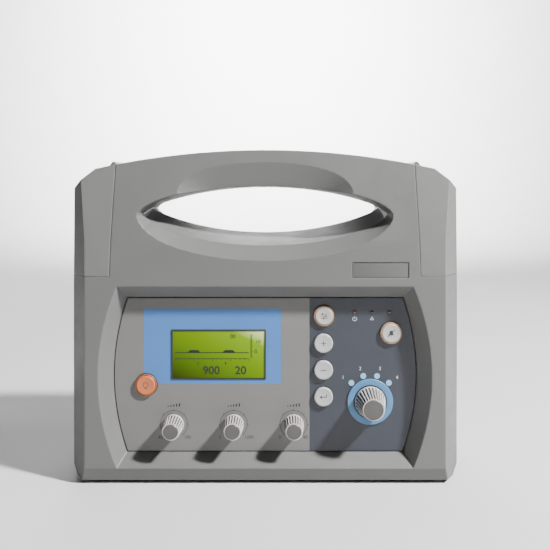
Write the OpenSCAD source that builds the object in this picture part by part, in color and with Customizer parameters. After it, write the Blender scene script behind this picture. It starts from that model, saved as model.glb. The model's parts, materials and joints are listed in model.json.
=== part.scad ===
// Portable transport ventilator with a carrying handle, a recessed control panel and
// rear gas connections. +Z is up, the control panel faces -Y, and the origin is under
// the middle of the case, on the surface that it stands on.

/* [Case] */
// Half of the case's width at mid height
case_hw = 151.5; // [149.5:0.5:153]
// Half of the front face's width
face_hw = 137.5; // [135:0.5:139]
// Top of the handle's arch above the surface
case_top = 256; // [255:0.5:258]
// Depth of the two case shells together
case_depth = 124; // [122:1:126]
// Wall of the two case shells
wall = 3; // [2.6:0.1:3.2]
// Height of the feet
foot_h = 3; // [2.5:0.5:3]
// Depth of the front shell, to the parting line
front_depth = 45; // [44:0.5:46]
// Skin of the two corner caps
cap_wall = 3; // [2.5:0.1:3.2]

/* [Control panel] */
// How far the panel lies behind the front face
recess_depth = 12; // [11:0.5:12.5]
// Thickness of the panel plate
panel_t = 3; // [2.5:0.1:3.2]
// Thickness of the printed films on the panel
film_t = 0.5; // [0.3:0.1:0.6]
// Dark gap around the panel plate
seam = 0.4; // [0.3:0.1:0.6]

/* [Controls] */
// Height of the three setting knobs
knob_h = 17; // [15:0.5:18]
// Radius of a setting knob at its skirt
knob_r = 8; // [7.5:0.1:8.2]
// Radius of a setting knob at its face
knob_face_r = 6.8; // [6.6:0.1:7]
// Height of the mode knob
mode_knob_h = 20; // [19:0.5:20]
// Radius of the mode knob at its skirt
mode_knob_r = 12; // [11.5:0.1:12.3]
// Radius of the mode knob at its face
mode_face_r = 8.6; // [8.4:0.1:9.4]
// Radius of every control shaft
shaft_r = 3; // [2.8:0.1:3.1]
// Running clearance of a shaft in its bush, on the radius
shaft_gap = 0.05; // [0.03:0.01:0.08]
// Travel of a push button
button_travel = 1.2; // [0.8:0.1:1.2]
// How far a push button stands out of the panel film
button_proud = 2.6; // [2:0.1:3]

/* [Rear connections] */
// Radius of the 22 mm conical patient outlet
outlet_r = 11; // [11:0.05:11.2]
// Radius of the 15 mm socket inside the patient outlet
socket_r = 7.5; // [7.4:0.05:7.6]
// Radius of the oxygen inlet's stud
oxygen_r = 7.14; // [7:0.02:7.2]
// Depth of the bay that holds the gas connections
bay_depth = 24; // [22:1:26]

/* [Hidden] */
$fn = 96;

y_front = -case_depth / 2;
y_rear = case_depth / 2;
y_part = y_front + front_depth;
y_panel = y_front + recess_depth;       // front face of the panel plate
y_panel_back = y_panel + panel_t;
y_film = y_panel - film_t;              // front face of the printed films
y_board = -36;                          // front face of the control board
z_crease = 185;                         // above this the front face leans back
z_bottom = foot_h;
lean = tan(8);
arch_r = 601;                           // radius of the handle's top
shoulder_r = 160;                       // radius of the rear shoulder
shoulder_z = 140;

// Screws that join the two shells, [x, z]
boss_at = [for (s = [-1, 1]) each [[s * 131, 22], [s * 131, 150], [s * 104, 229]]];

// Setting knobs, [x, z]
fio2_at = [-71, 43];
volume_at = [-24.5, 43];
rate_at = [22, 43];
mode_at = [81.5, 60.5];

// Push buttons, [x, z, radius]
lamp_at = [-92.5, 73.6, 8.5];
set_at = [45.6, 127.3, 7.9];
plus_at = [45.2, 106.1, 7.4];
minus_at = [45.2, 85.4, 7.4];
enter_at = [45.2, 64.6, 7.4];
silence_at = [97.6, 114, 8.4];
buttons = [lamp_at, set_at, plus_at, minus_at, enter_at, silence_at];

// Status lamp windows, [x, z]
leds_at = [[69.5, 130], [83, 130], [96.5, 130]];
led_r = 1.8;

label_box = [66.7, 158.5, 109.1, 169.6]; // blank label above the panel
overlay_split = 34.4;                   // x where the dark film starts
mask_box = [-94.3, 74.3, 12.4, 132.6];  // blue film, [x0, z0, x1, z1]
bezel_box = [-72.9, 77.8, 0.5, 116.5];
window_box = [-69.4, 81, -3, 113.4];

// Rear connections, [x, z]
outlet_at = [90, 66];
oxygen_at = [42, 66];
ports_at = [[66, 79], [66, 53]];
bay_box = [20, 38, 112, 94];
bay_floor = y_rear - bay_depth;
rocker_at = [-96, 60];
grille_box = [28, 104, 104, 146];
rear_feet_at = [for (x = [-114, 114], z = [22, 128]) [x, z]];
bottom_feet_at = [for (x = [-128, 128], y = [-42, 42]) [x, y]];
foot_pin_r = 3;
rear_foot_h = mode_knob_h + film_t + 1 - recess_depth; // as far out as the mode knob
rocker_rest = 8;                        // how far the rocker is tipped at rest
rocker_pivot = y_rear - 2;
rocker_pin_r = 1.2;

// Inside, [x, z] or [x, y]
board_posts = [for (x = [-112, -18], z = [90, 142]) [x, z]];
y_main_board = 20;
board_t = 1.6;
speaker_at = [-100, 22];
manifold_box = [[28, 0, 48], [104, 24, 84]];
battery_box = [[-58, -12, z_bottom + wall], [16, 34, 74]];

// ---------- helpers ----------

// A flat shape drawn in x and z, standing between two depths
module slab(y0, y1) {
    translate([0, y1, 0]) rotate([90, 0, 0]) linear_extrude(y1 - y0) children();
}

module rod(at, y0, y1, r, fn = 96) {
    translate([at[0], y1, at[1]]) rotate([90, 0, 0]) cylinder(h = y1 - y0, r = r, $fn = fn);
}

// A tube or cone along y, r0 at the depth y0 and r1 at y1
module cone(at, y0, y1, r0, r1) {
    translate([at[0], y1, at[1]]) rotate([90, 0, 0])
        cylinder(h = y1 - y0, r1 = r1, r2 = r0);
}

// A block from one corner to the other
module block(a, b) {
    translate(a) cube(b - a);
}

// A rectangle [x0, z0, x1, z1] made larger all round by g
module window(b, g = 0) {
    translate([b[0] - g, b[1] - g]) square([b[2] - b[0] + 2 * g, b[3] - b[1] + 2 * g]);
}

// A rectangle with round corners
module round_window(b, r) {
    union() {
        translate([b[0] + r, b[1]]) square([b[2] - b[0] - 2 * r, b[3] - b[1]]);
        translate([b[0], b[1] + r]) square([b[2] - b[0], b[3] - b[1] - 2 * r]);
        for (x = [b[0] + r, b[2] - r], z = [b[1] + r, b[3] - r])
            translate([x, z]) circle(r = r, $fn = 32);
    }
}

// Solid skinned over rings of points from front to back, each anticlockwise from the front
module loft(rings) {
    n = len(rings[0]);
    m = len(rings);
    polyhedron(
        points = [for (ring = rings) each ring],
        faces = concat(
            [[for (i = [n - 1:-1:0]) i]],
            [for (k = [0:m - 2], i = [0:n - 1])
                [k * n + i, k * n + (i + 1) % n, (k + 1) * n + (i + 1) % n, (k + 1) * n + i]],
            [[for (i = [0:n - 1]) (m - 1) * n + i]]
        )
    );
}

// An outline made whole from its right half
function mirrored(right) = concat(right, [for (i = [len(right) - 1:-1:0])
    if (right[i][0] > 0) [-right[i][0], right[i][1]]]);

// x of a bowed side at height z: w at mid height zm, narrower by bow at zm +- half
function bowed(w, bow, z, zm, half) = w - bow * pow((z - zm) / half, 2);

// z of the arch at x, t inside the outer skin
function arch_z(x, t = 0) = case_top - arch_r + sqrt(pow(arch_r - t, 2) - x * x);

// ---------- the case's outer form ----------

// Outline in x and z, t inside the outer skin
function case_outline(t) = mirrored(concat(
    [[0, z_bottom + t], [146 - 0.6 * t, z_bottom + t], [case_hw - 0.6 - t, 9.5 + 0.6 * t]],
    [for (z = [45:36:189]) [bowed(case_hw - t, 1.1, z, 118, 108), z]],
    [[case_hw - 1.1 - t, 226.5 - 0.3 * t], [131 - 0.5 * t, arch_z(131, t)]],
    [for (x = [117:-13:13]) [x, arch_z(x, t)]],
    [[0, arch_z(0, t)]]
));

// Outline seen from above: the sides slope in to the front face and to the back
function case_plan(t) =
    let (out = case_hw + 3, front_run = 25, rear_run = 30, dx = out - face_hw)
    let (tf = t * norm([1, dx / front_run]), tr = t * norm([1, dx / rear_run]))
    mirrored([
        [face_hw - tf - dx / front_run, y_front - 1], [out - tf, y_front + front_run],
        [out - tr, y_rear - rear_run], [face_hw - tr - dx / rear_run, y_rear + 1]
    ]);

// Outline seen from the side, [y, z]
function case_side(t) = concat(
    [[y_front + 4 + t, z_bottom - 1], [y_front + t, 13], [y_front + t, z_crease],
     [y_front + t + (case_top + 2 - z_crease) * lean, case_top + 2]],
    [for (a = [46:-5:1]) [y_rear - shoulder_r + (shoulder_r - t) * cos(a),
        shoulder_z + (shoulder_r - t) * sin(a)]],
    [[y_rear - t, shoulder_z], [y_rear - t, 13], [y_rear - 4 - t, z_bottom - 1]]
);

// The case's solid form between two depths, t inside its outer skin
module case_form(t, y0, y1) {
    intersection() {
        slab(y0, y1) polygon(case_outline(t));
        translate([0, 0, -1]) linear_extrude(case_top + 4) polygon(case_plan(t));
        rotate([90, 0, 90]) translate([0, 0, -case_hw - 2])
            linear_extrude(2 * case_hw + 4) polygon(case_side(t));
    }
}

// ---------- carrying handle ----------

// Outline of the hand opening at one depth: round ends when sharp is 1, pointed above that
function lens(y, hw, floor_z, tip_z, roof_z, sharp, n = 48) = [for (i = [0:n - 1])
    let (a = 360 * (i + 0.5) / n, s = sin(a), h = s > 0 ? roof_z - tip_z : tip_z - floor_z)
    [hw * cos(a), y, tip_z + sign(s) * h * pow(abs(s), sharp)]];

// The hand opening: a bevelled mouth at the front, a draft to the parting line, a wider back
module hand_opening(g = 0) {
    loft([
        lens(y_front - 8, 101.5 + g, 165 - g, 205, 231 + g, 1),
        lens(y_front + 13, 95 + g, 181.6 - g, 206.5, 228 + g, 1.25),
        lens(y_part, 93.5 + g, 190 - g, 210, 227 + g, 1.7),
        lens(y_part + 45, 97 + g, 181 - g, 209, 230 + g, 1.5),
        lens(y_rear + 8, 102 + g, 166 - g, 206, 236 + g, 1.2)
    ]);
}

// Shallow scoop above the opening, deepest at the opening's roof
module handle_scoop(g = 0) {
    loft([
        lens(y_front + 4, 72 + g, 208, 226, 266 + g, 1),
        lens(y_front + 13 + g / 4, 48 + g, 208, 222, 228 + g, 1)
    ]);
}

// ---------- control recess ----------

// Barrel outline in x and z: straight top and bottom, bowed sides
function barrel(hw, corner_hw, z0, z1, n = 14) = mirrored([for (i = [0:n])
    let (z = z0 + (z1 - z0) * i / n)
        [bowed(hw, hw - corner_hw, z, (z0 + z1) / 2, (z1 - z0) / 2), z]]);

function at_depth(outline, y) = [for (p = outline) [p[0], y, p[1]]];

// The recess's outline at k: 0 at the panel, 1 at the front face
function recess_outline(k, g = 0) = barrel(117.3 + seam + 9.5 * k + g,
    107 + seam + 5.6 * k + g, 22 - seam - 8.4 * k - g, 141.2 + seam + 9.9 * k + g);

// The tapered recess and, behind it, the pocket of the panel plate
module recess(y_back, g = 0) {
    loft([
        at_depth(recess_outline(4 / 3, g), y_front - recess_depth / 3),
        at_depth(recess_outline(0, g), y_panel),
        at_depth(recess_outline(0, g), y_back)
    ]);
}

// The panel plate's outline, g outside its edge
module panel_outline(g = 0) {
    polygon(barrel(117.3 + g, 107 + g, 22 - g, 141.2 + g));
}

// ---------- corner caps ----------

// The region of one corner cap, g outside its seams
module cap_region(s, g = 0) {
    seam_line = [[115.3 - g, 262], [118.8 - g, 159.5 - g], [158, 159.5 - g], [158, 262]];
    slab(y_front - 4, y_rear + 4) polygon([for (p = seam_line) [s * p[0], p[1]]]);
}

// A cap's raised inboard rib, over the top of the handle
module cap_rib(s) {
    z = arch_z(116);
    translate([0, y_front + 11, 0]) rotate([90, 0, 0]) mirror([0, 0, 1])
        linear_extrude(56) polygon([for (p = [[115.6, z - 2], [115.6, z + 0.6], [117, z + 2.4],
            [118.6, z + 2.2], [121, z - 1], [121, z - 2]]) [s * p[0], p[1]]]);
}

module corner_cap(s) {
    color([0.58, 0.58, 0.56]) difference() {
        union() {
            intersection() {
                case_form(0, y_front, y_rear);
                cap_region(s);
            }
            cap_rib(s);
        }
        case_form(cap_wall, y_front - 1, y_rear + 1);
    }
}

module left_corner_cap() corner_cap(-1);
module right_corner_cap() corner_cap(1);

// What the shells give up to the caps
module cap_pockets() {
    for (s = [-1, 1]) difference() {
        cap_region(s, 0.3);
        case_form(cap_wall + 0.2, y_front - 1, y_rear + 1);
    }
}

// Hollow inside of the shells between two depths
module case_hollow(y0, y1) {
    difference() {
        case_form(wall, y0, y1);
        for (s = [-1, 1]) cap_region(s, wall + 0.3);
        hand_opening(wall);
        handle_scoop(wall);
    }
    intersection() {
        case_form(wall + cap_wall + 0.2, y0, y1);
        for (s = [-1, 1]) cap_region(s, wall + 4);
    }
}

// ---------- case shells ----------

// Seal cord in the joint of the two shells, along the bottom and up both sides
module gasket_ring(g = 0) {
    intersection() {
        slab(y_part - 1 - g, y_part + 1 + g) difference() {
            polygon(case_outline(0.9 - g));
            polygon(case_outline(2.1 + g));
        }
        block([-case_hw, y_part - 2, 0], [case_hw, y_part + 2, 150 + g]);
    }
}

module foot_holes() {
    for (f = bottom_feet_at) translate([f[0], f[1], 0]) cylinder(h = 9, r = foot_pin_r + 0.1);
}

// Seat of the charger inlet's plate, low on the right side, with a finger notch above it
module charger_seat(g = 0) {
    block([case_hw - 2.4, -41 - g, 10 - g], [case_hw + 2, -20 + g, 25 + g]);
    translate([case_hw - 10, -30.5, 17.5]) rotate([0, 90, 0]) cylinder(h = 12, r = 5.2 + g);
    slab(-40, -21) polygon([[case_hw - 1.8, 28.5], [case_hw - 1.8, 33], [case_hw + 2, 37],
        [case_hw + 2, 27]]);
}

// The rear bay that holds the gas connections
module rear_bay(g = 0) {
    slab(y_rear - bay_depth - g, y_rear + 2) round_window(
        [bay_box[0] - g, bay_box[1] - g, bay_box[2] + g, bay_box[3] + g], 6 + g);
}

module front_housing() {
    color([0.55, 0.55, 0.54]) difference() {
        union() {
            difference() {
                case_form(0, y_front, y_part);
                cap_pockets();
                difference() {
                    case_hollow(y_front, y_part + 1);
                    recess(y_panel_back + wall, wall);
                }
            }
            for (b = boss_at) intersection() {
                rod(b, y_front + 2, y_part, 5);
                case_form(1, y_front, y_part);
            }
        }
        recess(y_panel_back);
        hand_opening();
        handle_scoop();
        slab(y_panel, y_panel_back + 2 * wall) panel_outline(-4);
        for (b = boss_at) rod(b, y_part - 16, y_part + 1, 1.7);
        slab(y_front - 1, y_front + 0.8) window(label_box, 0.3);
        charger_seat(0.2);
        foot_holes();
        gasket_ring(0.05);
    }
}

module rear_housing() {
    color([0.5, 0.5, 0.49]) difference() {
        union() {
            difference() {
                case_form(0, y_part, y_rear);
                cap_pockets();
                difference() {
                    case_hollow(y_part - 1, y_rear);
                    rear_bay(wall);
                }
            }
            for (b = boss_at) intersection() {
                rod(b, y_part, y_rear, 6);
                case_form(1, y_part, y_rear);
            }
            for (b = board_posts) rod(b, 21.6, y_rear - 1, 3.5);
        }
        hand_opening();
        rear_bay();
        for (b = boss_at) {
            rod(b, y_part - 1, y_rear + 1, 2.2);
            rod(b, y_part + 12, y_rear + 9, 4.2);
        }
        for (b = board_posts) rod(b, 20, 34, 1.3);
        rod(outlet_at, bay_floor - 6, bay_floor + 1, outlet_r + 1.2);
        rod(oxygen_at, bay_floor - 6, bay_floor + 1, oxygen_r + 1.2);
        for (p = ports_at) rod(p, bay_floor - 6, bay_floor + 1, 3.7);
        slab(50, y_rear + 1) window([rocker_at[0] - 10.2, rocker_at[1] - 14.2,
            rocker_at[0] + 10.2, rocker_at[1] + 14.2]);
        slab(y_rear - 1.4, y_rear + 1) window(grille_box, 0.3);
        slab(50, y_rear + 1) window(grille_box, -6);
        for (f = rear_feet_at) rod(f, y_rear - 5, y_rear + 1, foot_pin_r + 0.1);
        for (x = [-116:7:-88]) block([x, 8, 1], [x + 3.5, 36, 8]);
        foot_holes();
        gasket_ring(0.05);
    }
}

module housing_gasket() {
    color([0.1, 0.1, 0.1]) gasket_ring();
}

// Blank plate in its shallow recess above the control panel
module label_plate() {
    color([0.62, 0.62, 0.6])
        slab(y_front + 0.3, y_front + 0.75) window(label_box);
}

// ---------- control panel ----------

module panel_plate() {
    color([0.58, 0.58, 0.56]) difference() {
        slab(y_panel, y_panel_back) panel_outline();
        for (b = buttons) rod(b, y_panel - 1, y_panel_back + 1, b[2] + 0.35);
        for (p = [fio2_at, volume_at, rate_at]) rod(p, y_panel - 1, y_panel_back + 1, 4.4);
        rod(mode_at, y_panel - 1, y_panel_back + 1, 5.4);
        for (p = leds_at) rod(p, y_panel - 1, y_panel_back + 1, led_r + 0.1);
        slab(y_panel - 1, y_panel_back + 1) window(window_box, 1.6);
    }
}

// A printed film: the part of the panel between two values of x, with every hole
module film(x0, x1) {
    difference() {
        intersection() {
            slab(y_film, y_panel) panel_outline(-0.4);
            block([x0, y_film - 1, 0], [x1, y_panel + 1, 160]);
        }
        for (b = buttons) rod(b, y_film - 1, y_panel + 1, b[2] + 0.5);
        for (p = [fio2_at, volume_at, rate_at]) rod(p, y_film - 1, y_panel + 1, 6.8);
        rod(mode_at, y_film - 1, y_panel + 1, 8.6);
        for (p = leds_at) rod(p, y_film - 1, y_panel + 1, led_r + 0.1);
        slab(y_film - 1, y_panel + 1) window(mask_box, 0.05);
    }
}

module overlay_left() {
    color([0.6, 0.6, 0.58]) film(-120, overlay_split);
}

module overlay_right() {
    color([0.3, 0.32, 0.38]) film(overlay_split, 120);
}

module screen_mask() {
    color([0.42, 0.6, 0.8]) difference() {
        slab(y_film, y_panel) window(mask_box);
        rod(lamp_at, y_film - 1, y_panel + 1, lamp_at[2] + 0.5);
        slab(y_film - 1, y_panel + 1) window(window_box, 1.6);
    }
}

module lcd_bezel() {
    color([0.08, 0.08, 0.08]) slab(y_film - 0.7, y_film) difference() {
        window(bezel_box);
        window(window_box);
    }
}

module lcd_window() {
    color([0.55, 0.75, 0.15]) slab(y_film + 0.05, y_panel + 1.2) window(window_box, 1.4);
}

// Display glass in its metal frame, with its own small board behind
module lcd_module() {
    color([0.15, 0.3, 0.2]) {
        slab(y_panel_back + 0.2, y_panel_back + 7) window([-78, 74, 6, 120]);
        slab(y_panel_back + 7, y_panel_back + 8.6) window([-80, 64, 9, 130]);
    }
}

module control_board() {
    color([0.1, 0.35, 0.15]) difference() {
        slab(y_board, y_board + board_t) window([-100, 28, 104, 136]);
        rod(mode_at, y_board - 1, y_board + 3, 13.6);
    }
}

// One tactile switch behind each button
module key_switches() {
    color([0.15, 0.15, 0.15]) for (b = buttons) {
        slab(y_board - 3.5, y_board) window([b[0] - 3, b[1] - 3, b[0] + 3, b[1] + 3]);
        rod(b, y_board - 6.6, y_board - 3.5, 1.75);
    }
}

module status_leds() {
    color([0.2, 0.1, 0.1]) for (p = leds_at) rod(p, y_film - 0.3, y_board, led_r);
}

module mode_ring() {
    color([0.35, 0.6, 0.78]) difference() {
        rod(mode_at, y_film - 1.2, y_film, 17.8);
        rod(mode_at, y_film - 2, y_film + 1, 12.8);
    }
}

// Four printed dots, one for each position of the mode knob
module mode_dots() {
    color([0.6, 0.76, 0.86]) for (a = [45:30:135])
        rod(mode_at + 20.6 * [cos(a), sin(a)], y_film - 0.3, y_film, 2.2);
}

// ---------- knobs and their shafts ----------

// Body and bush of a rotary control, behind and through the panel
module rotary(at, body_r, body_l, bush_r) {
    difference() {
        union() {
            rod(at, y_panel_back + 0.1, y_panel_back + body_l, body_r);
            rod(at, y_film - 2.6, y_panel_back + 1, bush_r);
        }
        rod(at, y_film - 4, y_panel_back + 5, shaft_r + shaft_gap);
    }
}

module potentiometers() {
    color([0.7, 0.7, 0.7]) for (p = [fio2_at, volume_at, rate_at]) rotary(p, 8.4, 10.4, 4.2);
}

module mode_switch() {
    color([0.7, 0.7, 0.7]) rotary(mode_at, 13, 26, 5.2);
}

// Hexagon nuts on the bushes
module shaft_nuts() {
    color([0.8, 0.8, 0.8]) {
        for (p = [fio2_at, volume_at, rate_at]) difference() {
            rod(p, y_film - 2, y_panel, 6.2, 6);
            rod(p, y_film - 3, y_panel + 1, 4.25);
        }
        difference() {
            rod(mode_at, y_film - 2, y_panel, 8, 6);
            rod(mode_at, y_film - 3, y_panel + 1, 5.25);
        }
    }
}

// A fluted, tapered knob, hollow underneath for the nut
module knob(at, r, face_r, h, flutes) {
    back = y_film - 0.6;
    lean_in = atan2(r - face_r, h);
    difference() {
        cone(at, back - h, back, face_r, r);
        rod(at, back - 3.4, back + 1, r - 1.6);
        rod(at, back - 12.2, back, shaft_r);
        rod(at, back - h - 1, back - h + 1, face_r - 0.5);
        for (i = [0:flutes - 1]) translate([at[0], back, at[1]])
            rotate([0, i * 360 / flutes, 0]) translate([r + 0.25, 0, 0])
                rotate([0, 0, -lean_in]) rotate([90, 0, 0])
                    translate([0, 0, 2]) cylinder(h = h + 2, r = 0.65, $fn = 16);
    }
}

// Round cap that closes the face of a knob
module knob_cap(at, face_r, h) {
    back = y_film - 0.6;
    color([0.55, 0.53, 0.52]) rod(at, back - h - 0.4, back - h + 1, face_r - 0.6);
}

module shaft(at) {
    color([0.8, 0.8, 0.8]) rod(at, y_film - 12.6, y_panel_back + 4.6, shaft_r);
}

module fio2_knob() color([0.8, 0.78, 0.76]) knob(fio2_at, knob_r, knob_face_r, knob_h, 20);
module volume_knob() color([0.8, 0.78, 0.76]) knob(volume_at, knob_r, knob_face_r, knob_h, 20);
module rate_knob() color([0.8, 0.78, 0.76]) knob(rate_at, knob_r, knob_face_r, knob_h, 20);
module mode_knob() color([0.8, 0.78, 0.76]) knob(mode_at, mode_knob_r, mode_face_r, mode_knob_h, 26);
module fio2_cap() knob_cap(fio2_at, knob_face_r, knob_h);
module volume_cap() knob_cap(volume_at, knob_face_r, knob_h);
module rate_cap() knob_cap(rate_at, knob_face_r, knob_h);
module mode_cap() knob_cap(mode_at, mode_face_r, mode_knob_h);
module fio2_shaft() shaft(fio2_at);
module volume_shaft() shaft(volume_at);
module rate_shaft() shaft(rate_at);
module mode_shaft() shaft(mode_at);

// ---------- push buttons ----------

// A button's cap, its retaining flange behind the panel and the stem to its switch
module button(b) {
    cone(b, y_film - button_proud, y_film - button_proud + 0.6, b[2] - 0.6, b[2]);
    rod(b, y_film - button_proud + 0.6, y_panel_back + 0.5, b[2]);
    rod(b, y_panel_back + 0.35, y_panel_back + 1.35, b[2] + 1.3);
    rod(b, y_panel_back + 1.3, y_board - 6.6 - button_travel - 0.4, 2.2);
}

module lamp_button() color([0.87, 0.6, 0.42]) button(lamp_at);
module set_button() color([0.8, 0.8, 0.78]) button(set_at);
module plus_button() color([0.8, 0.8, 0.8]) button(plus_at);
module minus_button() color([0.8, 0.8, 0.8]) button(minus_at);
module enter_button() color([0.8, 0.8, 0.8]) button(enter_at);
module silence_button() color([0.8, 0.8, 0.78]) button(silence_at);

// ---------- inside ----------

// Power and drive board on the posts of the rear shell, with its larger parts
module main_board() {
    color([0.1, 0.35, 0.15]) difference() {
        union() {
            slab(y_main_board, y_main_board + board_t) window([-118, 84, -12, 148]);
            slab(y_main_board - 12, y_main_board) window([-104, 96, -72, 128]);
            for (x = [-58:14:-30]) rod([x, 104], y_main_board - 16, y_main_board, 5);
            for (x = [-60:18:-24]) slab(y_main_board - 9, y_main_board)
                window([x, 120, x + 12, 134]);
        }
        for (b = board_posts) rod(b, y_main_board - 1, y_main_board + 3, 1.6);
    }
}

module board_screws() {
    color([0.75, 0.75, 0.75]) for (b = board_posts) {
        rod(b, y_main_board - 2, y_main_board, 2.8);
        rod(b, y_main_board - 1, y_main_board + 11, 1.3);
    }
}

module battery_pack() {
    color([0.2, 0.25, 0.45]) difference() {
        block(battery_box[0] + [0.2, 0, 0], battery_box[1] - [0.2, 0, 0]);
        for (x = [-39.5:18.5:-2.5]) block([x - 0.5, battery_box[0][1] - 1, 0],
            [x + 0.5, battery_box[0][1] + 0.8, 80]);
    }
}

// Bent strap over the battery, with two feet on the floor of the case
module battery_bracket() {
    x0 = battery_box[0][0];
    x1 = battery_box[1][0];
    z0 = battery_box[0][2];
    z1 = battery_box[1][2];
    color([0.75, 0.75, 0.75]) difference() {
        union() {
            block([x0 - 1.5, 0, z0], [x1 + 1.5, 22, z1 + 1.5]);
            block([x0 - 12, 0, z0], [x1 + 12 - 0.5, 22, z0 + 1.5]);
        }
        block([x0, -1, z0 - 1], [x1, 23, z1]);
    }
}

// Drilled block that joins every gas part
module gas_manifold() {
    a = manifold_box[0];
    b = manifold_box[1];
    color([0.72, 0.73, 0.75]) difference() {
        block(a, b);
        rod(outlet_at, 12, b[1] + 1, 6);
        rod(oxygen_at, -1, b[1] + 1, 3);
        for (p = ports_at) rod(p, 16, b[1] + 1, 1.5);
        for (x = [54, 74, 94]) translate([x, 12, 66]) cylinder(h = 30, r = 3);
        translate([20, 12, 66]) rotate([0, 90, 0]) cylinder(h = 90, r = 3);
    }
}

// Brass regulator on the oxygen side, with its adjusting cap
module pressure_regulator() {
    color([0.78, 0.62, 0.3]) {
        rod(oxygen_at, -24, manifold_box[0][1], 13);
        rod(oxygen_at, -30, -24, 7, 6);
    }
}

// Proportional valve that meters the breath
module flow_valve() {
    z = manifold_box[1][2];
    color([0.65, 0.65, 0.68]) translate([54, 12, z]) {
        cylinder(h = 26, r = 10);
        translate([0, 0, 26]) cylinder(h = 4, r = 6);
    }
}

module relief_valve() {
    z = manifold_box[1][2];
    color([0.78, 0.62, 0.3]) translate([94, 12, z]) {
        cylinder(h = 8, r = 7, $fn = 6);
        translate([0, 0, 8]) cylinder(h = 10, r = 5.5);
    }
}

module pressure_sensor() {
    color([0.15, 0.15, 0.16]) {
        block([32, 6, manifold_box[1][2]], [42, 18, manifold_box[1][2] + 8]);
        translate([37, 12, manifold_box[1][2] + 8]) cylinder(h = 6, r = 1.8);
    }
}

// Silicone tubes: the intake hose and the two pressure lines
module gas_tubes() {
    z = manifold_box[1][2];
    color([0.8, 0.85, 0.85]) {
        difference() {
            union() {
                translate([74, 12, z]) cylinder(h = 42, r = 6);
                rod([74, z + 36], 12, 44, 6);
            }
            translate([74, 12, z - 1]) cylinder(h = 37, r = 4);
            rod([74, z + 36], 12, 45, 4);
        }
        for (p = ports_at) difference() {
            rod(p, manifold_box[1][1], bay_floor - 9, 3);
            rod(p, manifold_box[1][1] - 1, bay_floor - 8, 1.5);
        }
    }
}

// Cone for a 22 mm breathing hose, with a 15 mm socket inside it
module patient_outlet() {
    color([0.85, 0.86, 0.88]) difference() {
        union() {
            rod(outlet_at, manifold_box[1][1], bay_floor, outlet_r + 1);
            rod(outlet_at, bay_floor, bay_floor + 3, 14.5);
            rod(outlet_at, bay_floor + 3, bay_floor + 22, outlet_r);
        }
        rod(outlet_at, manifold_box[1][1] - 1, bay_floor + 23, socket_r);
    }
}

// Two hose barbs for the airway pressure lines
module sampling_ports() {
    color([0.3, 0.45, 0.7]) for (p = ports_at) difference() {
        union() {
            rod(p, bay_floor - 9, bay_floor, 3.5);
            rod(p, bay_floor, bay_floor + 2.4, 6, 6);
            rod(p, bay_floor + 2.4, bay_floor + 14, 2.2);
            cone(p, bay_floor + 8, bay_floor + 13, 3, 2.2);
        }
        rod(p, bay_floor - 10, bay_floor + 15, 1.2);
    }
}

// Oxygen inlet stud with its hexagon and bore
module oxygen_inlet() {
    color([0.8, 0.81, 0.83]) difference() {
        union() {
            rod(oxygen_at, manifold_box[1][1], bay_floor, oxygen_r + 1);
            rod(oxygen_at, bay_floor, bay_floor + 6, 11, 6);
            rod(oxygen_at, bay_floor + 6, bay_floor + 20, oxygen_r);
        }
        rod(oxygen_at, manifold_box[1][1] - 1, bay_floor + 21, 3);
    }
}

// Alarm speaker over the slots in the floor of the case
module speaker() {
    color([0.12, 0.12, 0.12]) translate([speaker_at[0], speaker_at[1], z_bottom + wall]) {
        difference() {
            cylinder(h = 5, r = 20);
            translate([0, 0, -1]) cylinder(h = 4, r = 17);
        }
        translate([0, 0, 5]) cylinder(h = 8, r = 11);
    }
}

module intake_filter() {
    color([0.9, 0.9, 0.86]) slab(44, y_rear - wall - 0.4) window(grille_box, -3);
}

// Slotted plate over the air intake
module intake_grille() {
    b = grille_box;
    color([0.3, 0.3, 0.3]) slab(y_rear - 1.3, y_rear - 0.1) difference() {
        window(b);
        for (z = [b[1] + 7:5:b[3] - 8]) translate([b[0] + 8, z]) square([b[2] - b[0] - 16, 2.4]);
    }
}

// Frame of the mains rocker on the back, hollow for the rocker
module power_switch() {
    x = rocker_at[0];
    z = rocker_at[1];
    color([0.1, 0.1, 0.1]) difference() {
        union() {
            slab(y_rear, y_rear + 1.6) window([x - 12, z - 16, x + 12, z + 16]);
            slab(y_rear - 22, y_rear) window([x - 10, z - 14, x + 10, z + 14]);
        }
        slab(y_rear - 12, y_rear + 2) window([x - 7, z - 11, x + 7, z + 11]);
        translate([x - 8.8, rocker_pivot, z]) rotate([0, 90, 0])
            cylinder(h = 17.6, r = rocker_pin_r + 0.05);
    }
}

// Rocker with its two trunnions; it tips about a cross axis through them
module power_rocker() {
    x = rocker_at[0];
    z = rocker_at[1];
    color([0.12, 0.12, 0.12]) translate([x, rocker_pivot, z]) {
        rotate([rocker_rest, 0, 0]) translate([-6.5, 0, 0]) rotate([90, 0, 90])
            linear_extrude(13) polygon([[-4, -7], [-4, 7], [2.4, 10.2], [4.6, 9.6], [3.2, 0],
                [4.6, -9.6], [2.4, -10.2]]);
        translate([-8.4, 0, 0]) rotate([0, 90, 0]) cylinder(h = 16.8, r = rocker_pin_r);
    }
}

module charger_inlet() {
    color([0.1, 0.1, 0.1]) difference() {
        union() {
            block([case_hw - 2.3, -41, 10], [case_hw - 0.1, -20, 25]);
            translate([case_hw - 13, -30.5, 17.5]) rotate([0, 90, 0]) cylinder(h = 11, r = 5.2);
        }
        translate([case_hw - 11, -30.5, 17.5]) rotate([0, 90, 0]) cylinder(h = 14, r = 2.8);
    }
}

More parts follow.
